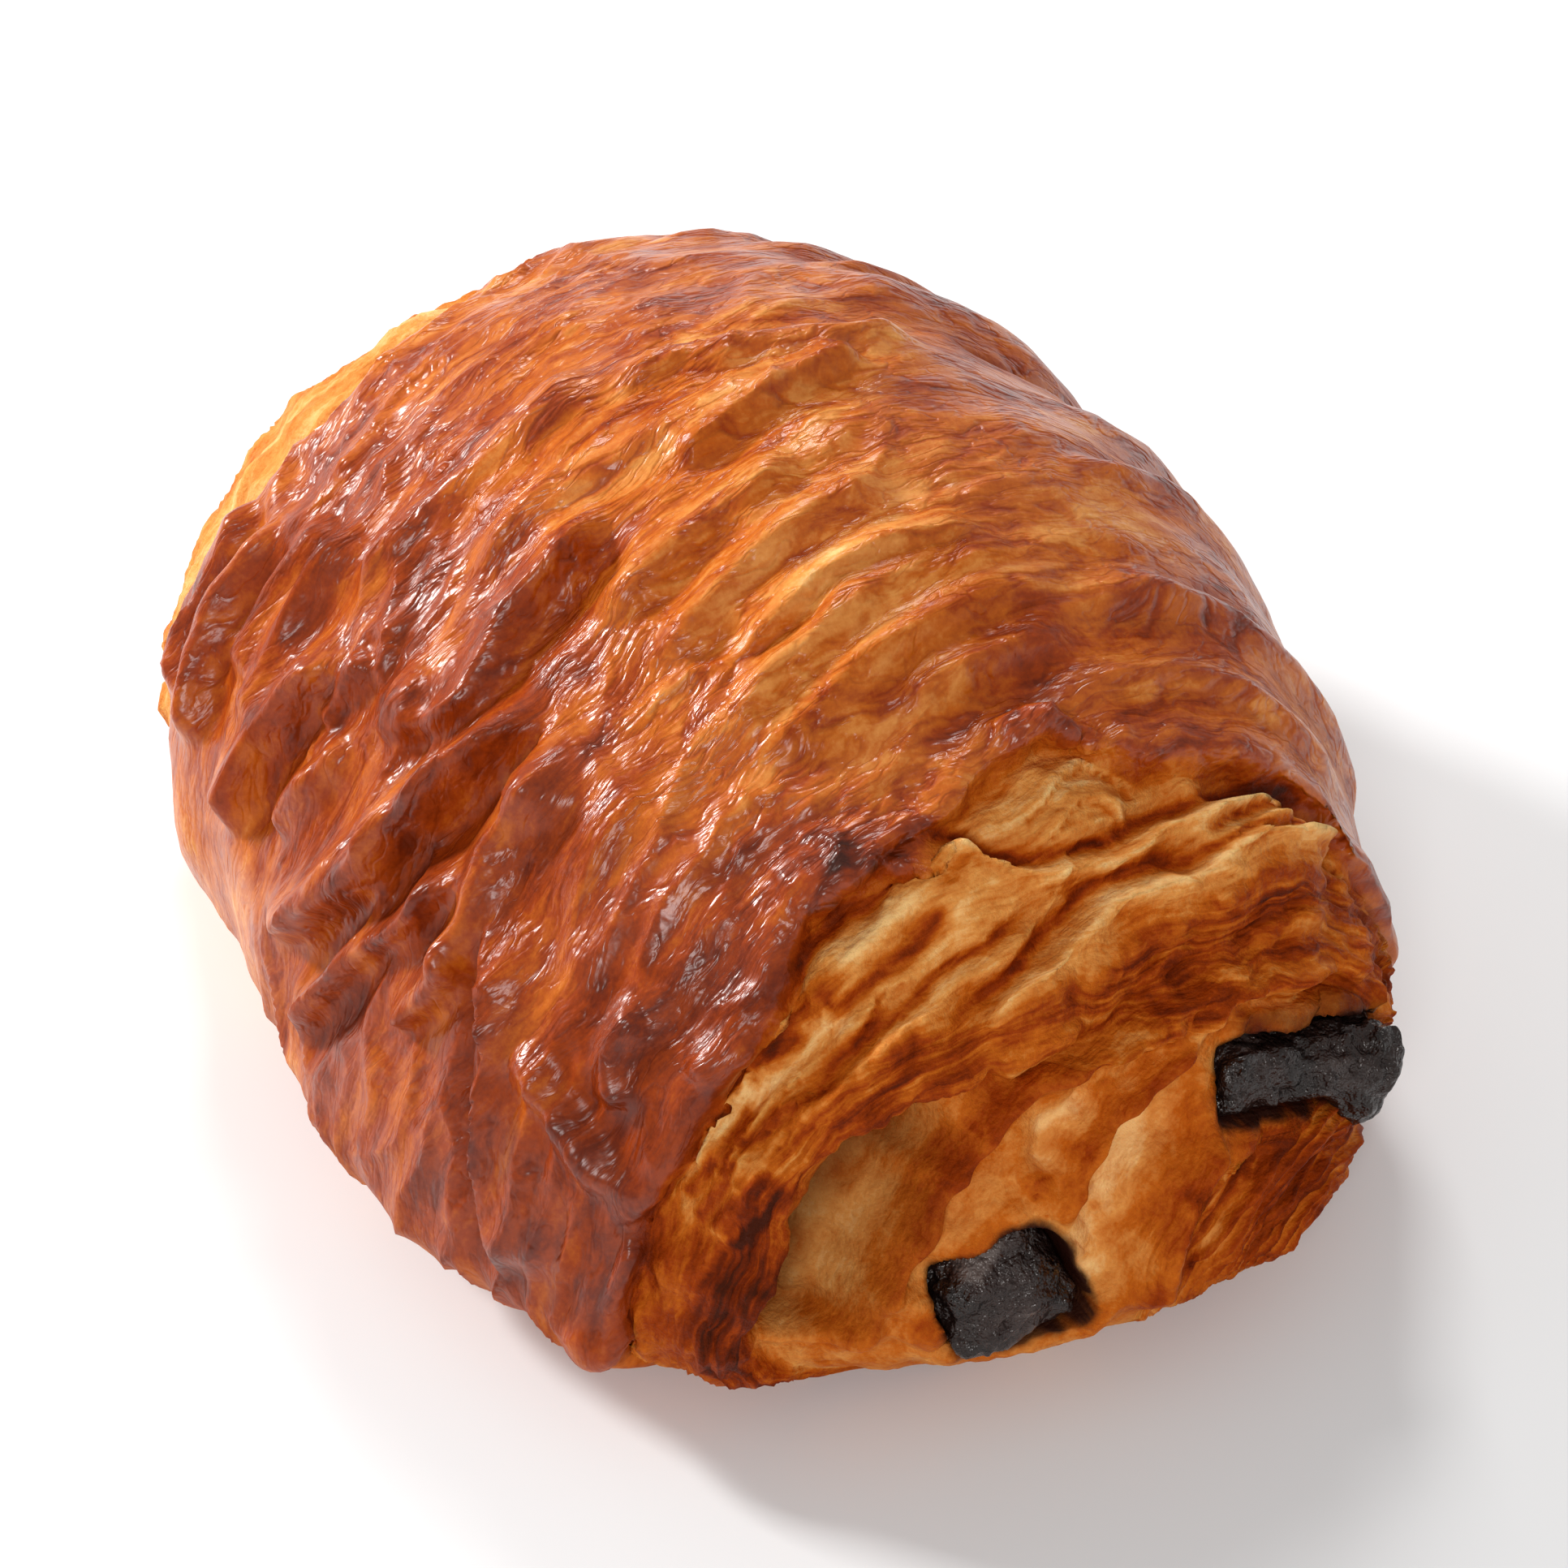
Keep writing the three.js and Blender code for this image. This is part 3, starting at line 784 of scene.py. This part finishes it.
def makeBaton(name, low, high, place, shapeEnds):
    length = (high.x - low.x) / mm
    bar = bmesh.new()
    bmesh.ops.create_cube(bar, size=1)
    bmesh.ops.scale(bar, vec=(length, place["width"], place["depth"]), verts=bar.verts)
    edge = min(batons["edge"], place["depth"] * batons["edgeShare"])
    bmesh.ops.bevel(bar, geom=bar.edges[:], offset=edge, offset_type="OFFSET", segments=4,
                    profile=0.5, affect="EDGES", clamp_overlap=True, material=-1)
    cuts = ((0, length * 0.5, "cutsAlong"), (1, place["width"] * 0.4, "cutsAcross"),
            (2, place["depth"] * 0.4, "cutsAcross"))
    for axis, longerThan, count in cuts:
        crossing = [e for e in bar.edges if abs(e.verts[0].co[axis] - e.verts[1].co[axis]) > longerThan]
        bmesh.ops.subdivide_edges(bar, edges=crossing, cuts=batons[count], use_grid_fill=True)
    bmesh.ops.triangulate(bar, faces=[f for f in bar.faces if len(f.verts) > 4])
    mesh = bpy.data.meshes.new(name)
    bar.to_mesh(mesh)
    bar.free()
    piece = newObject(name, mesh)
    soften = piece.modifiers.new("soften", "SUBSURF")
    soften.levels = soften.render_levels = batons["smoothness"]
    mesh = finishModifiers(piece)

    co = readPoints(mesh)
    nearEnd = smoothStep(length / 2 - batons["softEnd"], length / 2, co[:, 0])
    lumps = batons["lumps"] * layered(co / 3.2, batons["seed"], 3)
    pits = batons["pits"] * np.clip(layered(co / 1.1, batons["seed"] + 9, 2), -1, 1)
    out = (0.35 + 0.9 * nearEnd) * lumps + pits * (0.4 + 1.2 * nearEnd)
    co += readPoints(mesh, "normal") * np.clip(out, -0.9, 0.7)[:, None]
    shapeEnds(co, nearEnd, length, place)
    # a whitish painted highlight along the top edge of the near end
    topEdge = smoothStep(2.6, 3.6, co[:, 2]) * bump(co[:, 1], -0.6, 1.9)
    writeValue(mesh, "paintedHighlight", topEdge * nearEnd * (place["depth"] > batons["paintedHighlightFrom"]))

    lean = math.radians(place["tilt"])
    turned = np.stack([
        co[:, 0],
        co[:, 1] * math.cos(lean) - co[:, 2] * math.sin(lean),
        co[:, 1] * math.sin(lean) + co[:, 2] * math.cos(lean),
    ], 1)
    turned += np.array(Vector(((low.x + high.x) / 2 / mm, place["across"] + doughOffsetY, place["level"])))
    mesh.vertices.foreach_set("co", (turned * mm).ravel())
    mesh.update()
    print(name + ":", len(mesh.polygons), "faces")
    return piece


def rightEnds(co, nearEnd, length, place):
    # softened: its outer side has run out and sagged
    side = co[:, 1] / (place["width"] / 2)
    sag = smoothStep(0.3, 0.8, side) * nearEnd
    co[:, 2] *= 1 + 0.45 * sag - 0.08 * nearEnd * smoothStep(0.5, 0.1, side)
    co[:, 2] -= 0.9 * sag
    co[:, 0] += (1.2 * sag - 0.5 - 0.4 * smoothStep(0.5, -0.6, side)) * nearEnd


def leftEnds(co, nearEnd, length, place):
    # cut square, with a low corner squeezed out; its far end comes close to the dough's
    co[:, 0] -= 2.2 * smoothStep(batons["softEnd"] - length / 2, -length / 2, co[:, 0])
    corner = np.exp(-(((co[:, 1] - 3.6) / 2.4) ** 2 + ((co[:, 2] + 3.4) / 2.0) ** 2))
    co[:, 0] += (0.8 * corner - 1.7 - 2.0 * co[:, 2] / place["depth"]) * nearEnd
    co[:, 1] *= 1 - 0.04 * nearEnd
    co[:, 2] *= 1 - 0.06 * nearEnd


def sRgb(red, green, blue):
    linear = [c / 12.92 if c <= 0.04045 else ((c + 0.055) / 1.055) ** 2.4 for c in (red, green, blue)]
    return (*linear, 1.0)


def addNode(tree, kind, x, y, label="", **sockets):
    node = tree.nodes.new(kind)
    node.location = (x, y)
    node.label = label
    setSockets(node, {name.replace("_", " "): value for name, value in sockets.items()})
    return node


def mathNode(tree, kind, x, y, *values, clamp=False):
    # values are numbers or other nodes' outputs
    node = addNode(tree, "ShaderNodeMath", x, y)
    node.operation = kind
    node.use_clamp = clamp
    for socket, value in zip(node.inputs, values):
        if isinstance(value, (int, float)):
            socket.default_value = value
        else:
            tree.links.new(value, socket)
    return node.outputs[0]


def vectorNode(tree, kind, x, y, label, source):
    node = addNode(tree, "ShaderNodeVectorMath", x, y, label)
    node.operation = kind
    tree.links.new(source, node.inputs[0])
    return node


def textureNode(tree, kind, x, y, label, place, **sockets):
    node = addNode(tree, kind, x, y, label, **sockets)
    tree.links.new(place, node.inputs["Vector"])
    return node.outputs[0]


def makeRamp(tree, x, y, stops, source):
    node = addNode(tree, "ShaderNodeValToRGB", x, y)
    elements = node.color_ramp.elements
    while len(elements) < len(stops):
        elements.new(0.5)
    for element, (position, colour) in zip(elements, stops):
        element.position = position
        element.color = colour
    tree.links.new(source, node.inputs[0])
    return node.outputs[0]


def startMaterial(name, x):
    material = bpy.data.materials.new(name)
    material.use_nodes = True
    tree = material.node_tree
    tree.nodes.clear()
    output = addNode(tree, "ShaderNodeOutputMaterial", x + 300, 0)
    shader = addNode(tree, "ShaderNodeBsdfPrincipled", x, 0, name)
    tree.links.new(shader.outputs[0], output.inputs["Surface"])
    places = addNode(tree, "ShaderNodeTexCoord", -1800, 0)
    return material, tree, shader, places.outputs["Object"]


def setSockets(node, values):
    for name, value in values.items():
        node.inputs[name].default_value = value


def addRelief(tree, shader, height, values):
    raised = addNode(tree, "ShaderNodeBump", 800, -650, "relief")
    setSockets(raised, values)
    tree.links.new(height, raised.inputs["Height"])
    tree.links.new(raised.outputs[0], shader.inputs["Normal"])
    tree.links.new(raised.outputs[0], shader.inputs["Coat Normal"])


def readValue(tree, x, y, name):
    node = addNode(tree, "ShaderNodeAttribute", x, y, name)
    node.attribute_name = name
    return node.outputs["Fac"]


def makeStretchedGroup():
    # fine fibres drawn out round the roll, for colour and for relief
    group = bpy.data.node_groups.new("stretchedFibres", "ShaderNodeTree")
    group.interface.new_socket("Place", in_out="INPUT", socket_type="NodeSocketVector")
    fineness = group.interface.new_socket("Fineness", in_out="INPUT", socket_type="NodeSocketFloat")
    fineness.default_value = 1.0
    for name in ("Fibres", "Blotches", "Creases", "Fine Creases"):
        group.interface.new_socket(name, in_out="OUTPUT", socket_type="NodeSocketFloat")
    inputs = addNode(group, "NodeGroupInput", -900, 0)
    outputs = addNode(group, "NodeGroupOutput", 800, 0)
    warp = addNode(group, "ShaderNodeTexNoise", -700, 200, "warp", Scale=110.0, Detail=2.0)
    group.links.new(inputs.outputs["Place"], warp.inputs["Vector"])
    shift = vectorNode(group, "MULTIPLY_ADD", -500, 200, "shift", warp.outputs["Color"])
    shift.inputs[1].default_value = (0.004, 0.004, 0.004)
    group.links.new(inputs.outputs["Place"], shift.inputs[2])
    stretch = vectorNode(group, "MULTIPLY", -300, 200, "stretch", shift.outputs[0])
    stretch.inputs[1].default_value = (1.0, 0.3, 0.3)
    scale = vectorNode(group, "SCALE", -100, 200, "fineness", stretch.outputs[0])
    group.links.new(inputs.outputs["Fineness"], scale.inputs["Scale"])
    for name, size, detail, y in (("Fibres", 1500.0, 3.0, 300), ("Blotches", 420.0, 4.0, -100)):
        texture = textureNode(group, "ShaderNodeTexNoise", 100, y, name, scale.outputs[0],
                              Scale=size, Detail=detail, Roughness=0.6)
        group.links.new(texture, outputs.inputs[name])

    # creases: thin lines where a stretched noise crosses its middle, wide ones and fine ones
    for name, size, detail, y in (("Creases", 330.0, 3.5, -400), ("Fine Creases", 900.0, 2.5, -700)):
        wave = textureNode(group, "ShaderNodeTexNoise", 100, y, name, scale.outputs[0],
                           Scale=size, Detail=detail, Roughness=0.55, Distortion=0.25)
        centred = mathNode(group, "SUBTRACT", 280, y, wave, 0.5)
        away = mathNode(group, "ABSOLUTE", 420, y, centred)
        line = addNode(group, "ShaderNodeMapRange", 560, y, "line", From_Max=0.07, To_Min=1.0, To_Max=0.0)
        line.interpolation_type = "SMOOTHSTEP"
        group.links.new(away, line.inputs["Value"])
        group.links.new(line.outputs[0], outputs.inputs[name])
    return group


crust = {
    "bake": [               # from the palest flake to burnt
        (0.0, sRgb(0.93, 0.74, 0.48)),
        (0.2, sRgb(0.85, 0.56, 0.27)),
        (0.42, sRgb(0.73, 0.365, 0.075)),
        (0.62, sRgb(0.58, 0.215, 0.02)),
        (0.8, sRgb(0.42, 0.13, 0.015)),
        (1.0, sRgb(0.25, 0.085, 0.035)),
    ],
    # also the colour of the painted shade in the front end's pockets
    "stainAndShade": sRgb(0.16, 0.06, 0.035),
    "dullRoughness": 0.55,
    "glazedRoughness": 0.42,
    "glazeWeight": 0.42,
    "surface": {
        "Coat Roughness": 0.26,
        "Specular IOR Level": 0.08,
        "Specular Tint": (1.0, 0.74, 0.5, 1.0),
        "Subsurface Weight": 0.08,
        "Subsurface Radius": (1.0, 0.45, 0.15),
        "Subsurface Scale": 0.0015,
    },
    "relief": {"Strength": 0.42, "Distance": 0.0006},
}


def makeCrust(stretched):
    material, tree, shader, place = startMaterial("crust", 1150)
    fibres = tree.nodes.new("ShaderNodeGroup")
    fibres.node_tree = stretched
    fibres.location = (-1300, 200)
    tree.links.new(place, fibres.inputs["Place"])
    names = ("tone", "glaze", "stainAndShade", "layer", "brownBand", "skin", "crinkle")
    read = {name: readValue(tree, -1600, -250 - 180 * i, name) for i, name in enumerate(names)}

    # thin parallel layers that follow the sheets' edges
    layerAt = addNode(tree, "ShaderNodeCombineXYZ", -1300, -500, "across the layers")
    tree.links.new(read["layer"], layerAt.inputs["X"])
    loose = vectorNode(tree, "SCALE", -1300, -700, "loose", place)
    loose.inputs["Scale"].default_value = 160.0
    layerPlace = vectorNode(tree, "MULTIPLY_ADD", -1100, -550, "layer place", layerAt.outputs[0])
    layerPlace.inputs[1].default_value = (3.2, 1.0, 1.0)
    tree.links.new(loose.outputs[0], layerPlace.inputs[2])
    layers = textureNode(tree, "ShaderNodeTexNoise", -900, -550, "layers", layerPlace.outputs[0],
                         Scale=1.0, Detail=3.0, Roughness=0.6)
    grain = textureNode(tree, "ShaderNodeTexNoise", -900, -800, "grain", place,
                        Scale=2600.0, Detail=3.0, Roughness=0.65)
    speckle = textureNode(tree, "ShaderNodeTexVoronoi", -900, -1050, "speckle", place, Scale=1500.0)

    # the bake, with fibres, blotches, layers and grain over it, and painted shade in the creases
    creases = mathNode(tree, "MULTIPLY_ADD", -700, 400, fibres.outputs["Fine Creases"], 0.45,
                       fibres.outputs["Creases"])
    creases = mathNode(tree, "MULTIPLY", -560, 400, creases, read["crinkle"])
    # painted shade: the creases are painted darker, more so on the skin
    paintedCreaseShade = mathNode(tree, "MULTIPLY_ADD", -700, 560, read["skin"], 0.1, 0.04)
    layerTone = mathNode(tree, "MULTIPLY_ADD", -700, -120, layers, 0.9, -0.45)
    tone = read["tone"]
    for i, shift in enumerate((
        mathNode(tree, "MULTIPLY_ADD", -700, 250, fibres.outputs["Fibres"], 0.3, -0.15),
        mathNode(tree, "MULTIPLY_ADD", -700, 80, fibres.outputs["Blotches"], 0.7, -0.38),
        mathNode(tree, "MULTIPLY", -520, -120, layerTone, read["brownBand"]),
        mathNode(tree, "MULTIPLY_ADD", -700, -300, grain, 0.24, -0.12),
        mathNode(tree, "MULTIPLY", -420, 450, creases, paintedCreaseShade),
    )):
        tone = mathNode(tree, "ADD", -350 + 150 * i, 150, tone, shift, clamp=i == 4)
    baked = makeRamp(tree, 430, 200, crust["bake"], tone)
    # the chocolate stain, and the painted shade of the front end's pockets, over the bake
    darkening = addNode(tree, "ShaderNodeMix", 800, 200, "darkening")
    darkening.data_type = "RGBA"
    darkening.inputs[7].default_value = crust["stainAndShade"]
    tree.links.new(read["stainAndShade"], darkening.inputs[0])
    tree.links.new(baked, darkening.inputs[6])
    tree.links.new(darkening.outputs[2], shader.inputs["Base Color"])

    # gloss of the egg wash on the skin, a dull greasy crumb inside
    rough = addNode(tree, "ShaderNodeMapRange", 620, -100, "roughness",
                    To_Min=crust["dullRoughness"], To_Max=crust["glazedRoughness"])
    tree.links.new(read["glaze"], rough.inputs["Value"])
    tree.links.new(rough.outputs[0], shader.inputs["Roughness"])
    coat = mathNode(tree, "MULTIPLY", 620, -350, read["glaze"], crust["glazeWeight"])
    coat = mathNode(tree, "MULTIPLY_ADD", 780, -350, coat, fibres.outputs["Blotches"], coat, clamp=True)
    tree.links.new(coat, shader.inputs["Coat Weight"])
    setSockets(shader, crust["surface"])

    # relief: creases and fibres on the skin, layers on the bands, grain elsewhere
    sunkCreases = mathNode(tree, "MULTIPLY", -500, -680, creases, -0.55)
    fibreRelief = mathNode(tree, "MULTIPLY_ADD", -350, -600, fibres.outputs["Fibres"], 0.35, sunkCreases)
    relief = mathNode(tree, "MULTIPLY", -200, -600, fibreRelief, read["skin"])
    bandRelief = mathNode(tree, "MULTIPLY", -300, -760, layers, read["brownBand"])
    offSkin = mathNode(tree, "SUBTRACT", -500, -920, 1.0, read["skin"])
    crumb = mathNode(tree, "MULTIPLY_ADD", -500, -1080, speckle, 0.35, grain)
    crumb = mathNode(tree, "MULTIPLY_ADD", -350, -1080, creases, -0.35, crumb)
    crumb = mathNode(tree, "MULTIPLY", -200, -920, crumb, offSkin)
    relief = mathNode(tree, "ADD", -50, -650, relief, bandRelief)
    relief = mathNode(tree, "ADD", 100, -700, relief, crumb)
    addRelief(tree, shader, relief, crust["relief"])
    return material


chocolate = {
    "shades": [             # dark, worn, and the whitish painted highlight
        (0.38, sRgb(0.07, 0.038, 0.03)),
        (0.62, sRgb(0.16, 0.10, 0.085)),
        (0.8, sRgb(0.36, 0.31, 0.29)),
    ],
    "smoothest": 0.24,
    "roughest": 0.46,
    "surface": {
        "Specular IOR Level": 0.2,
        "Specular Tint": (1.0, 0.84, 0.76, 1.0),
        "Coat Weight": 0.55,
        "Coat Roughness": 0.13,
    },
    "relief": {"Strength": 0.9, "Distance": 0.0011},
}


def makeChocolate():
    material, tree, shader, place = startMaterial("darkChocolate", 600)
    mottle = textureNode(tree, "ShaderNodeTexNoise", -600, 200, "mottle", place,
                         Scale=260.0, Detail=5.0, Roughness=0.6)
    bubbles = textureNode(tree, "ShaderNodeTexNoise", -600, -100, "bubbles", place,
                          Scale=800.0, Detail=3.0, Roughness=0.6)
    # the painted highlight, broken up by the bubbles
    patchyHighlight = mathNode(tree, "MULTIPLY", -600, 450, readValue(tree, -900, 400, "paintedHighlight"), bubbles)
    shade = mathNode(tree, "MULTIPLY_ADD", -450, 350, patchyHighlight, 0.9, mottle)
    tree.links.new(makeRamp(tree, -200, 250, chocolate["shades"], shade), shader.inputs["Base Color"])
    rough = addNode(tree, "ShaderNodeMapRange", -200, -50, "roughness", From_Min=0.35, From_Max=0.65,
                    To_Min=chocolate["smoothest"], To_Max=chocolate["roughest"])
    tree.links.new(bubbles, rough.inputs["Value"])
    tree.links.new(rough.outputs[0], shader.inputs["Roughness"])
    setSockets(shader, chocolate["surface"])
    addRelief(tree, shader, mathNode(tree, "ADD", -200, -350, mottle, bubbles), chocolate["relief"])
    return material


doughPiece = makeDough()
doughPiece.data.materials.append(makeCrust(makeStretchedGroup()))
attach(doughPiece, "root")
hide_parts("baked_dough")

chocolateMaterial = makeChocolate()
rightPiece = makeBaton("batonRight", rightLow, rightHigh, batonPlaces["right"], rightEnds)
leftPiece = makeBaton("batonLeft", leftLow, leftHigh, batonPlaces["left"], leftEnds)
for piece, node in ((rightPiece, "chocolate_baton_right"), (leftPiece, "chocolate_baton_left")):
    piece.data.materials.append(chocolateMaterial)
    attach(piece, "root")
    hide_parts(node)

# A pale floor, soft daylight from all round, and three soft lamps.
studio = {
    "floorSize": 3.0,
    "floorColour": (0.84, 0.84, 0.84, 1),
    "floorRoughness": 0.9,
    "worldStrength": 0.45,
    "aimLevel": 0.0205,
    "lights": [
        {"name": "leftSoftbox", "from": (-0.78, -0.5, 0.5), "distance": 0.7, "size": 0.11, "power": 4.8},
        {"name": "topBack", "from": (-0.6, 0.3, 0.75), "distance": 0.7, "size": 0.18, "power": 2.2},
        {"name": "frontFill", "from": (0.7, -0.5, 0.6), "distance": 0.8, "size": 0.2, "power": 2.4},
    ],
}

floorMesh = bpy.data.meshes.new("floor")
sheet = bmesh.new()
bmesh.ops.create_grid(sheet, x_segments=1, y_segments=1, size=studio["floorSize"])
sheet.to_mesh(floorMesh)
sheet.free()
paleFloor = bpy.data.materials.new("paleFloor")
paleFloor.use_nodes = True
floorShader = paleFloor.node_tree.nodes["Principled BSDF"]
floorShader.inputs["Base Color"].default_value = studio["floorColour"]
floorShader.inputs["Roughness"].default_value = studio["floorRoughness"]
floor = newObject("floor", floorMesh)
floor.data.materials.append(paleFloor)

world = bpy.data.worlds.new("studio")
world.use_nodes = True
daylight = world.node_tree.nodes["Background"]
daylight.inputs["Color"].default_value = (1, 1, 1, 1)
daylight.inputs["Strength"].default_value = studio["worldStrength"]
bpy.context.scene.world = world

aim = Vector((doughMiddleX * mm, doughOffsetY * mm, studio["aimLevel"]))
for spec in studio["lights"]:
    lamp = bpy.data.lights.new(spec["name"], "AREA")
    lamp.shape = "SQUARE"
    lamp.size = spec["size"]
    lamp.energy = spec["power"]
    holder = newObject(spec["name"], lamp)
    toward = Vector(spec["from"]).normalized()
    holder.location = aim + toward * spec["distance"]
    holder.rotation_euler = toward.to_track_quat("Z", "Y").to_euler()

view = {
    "azimuth": 57.0,        # degrees
    "elevation": 42.5,
    "distance": 0.465,      # metres
    "lens": 160.3,
    "sensor": 36,
    "shiftX": 0.0202,
    "shiftY": -0.0248,
}
azimuth = math.radians(view["azimuth"])
elevation = math.radians(view["elevation"])
level = math.cos(elevation)
back = Vector((math.sin(azimuth) * level, -math.cos(azimuth) * level, math.sin(elevation)))
cameraData = bpy.data.cameras.new("camera")
cameraData.lens = view["lens"]
cameraData.sensor_width = view["sensor"]
cameraData.shift_x = view["shiftX"]
cameraData.shift_y = view["shiftY"]
cameraData.clip_start = 0.01
camera = newObject("camera", cameraData)
camera.location = aim + back * view["distance"]
camera.rotation_euler = back.to_track_quat("Z", "Y").to_euler()
bpy.context.scene.camera = camera
bpy.context.scene.view_settings.view_transform = "Standard"
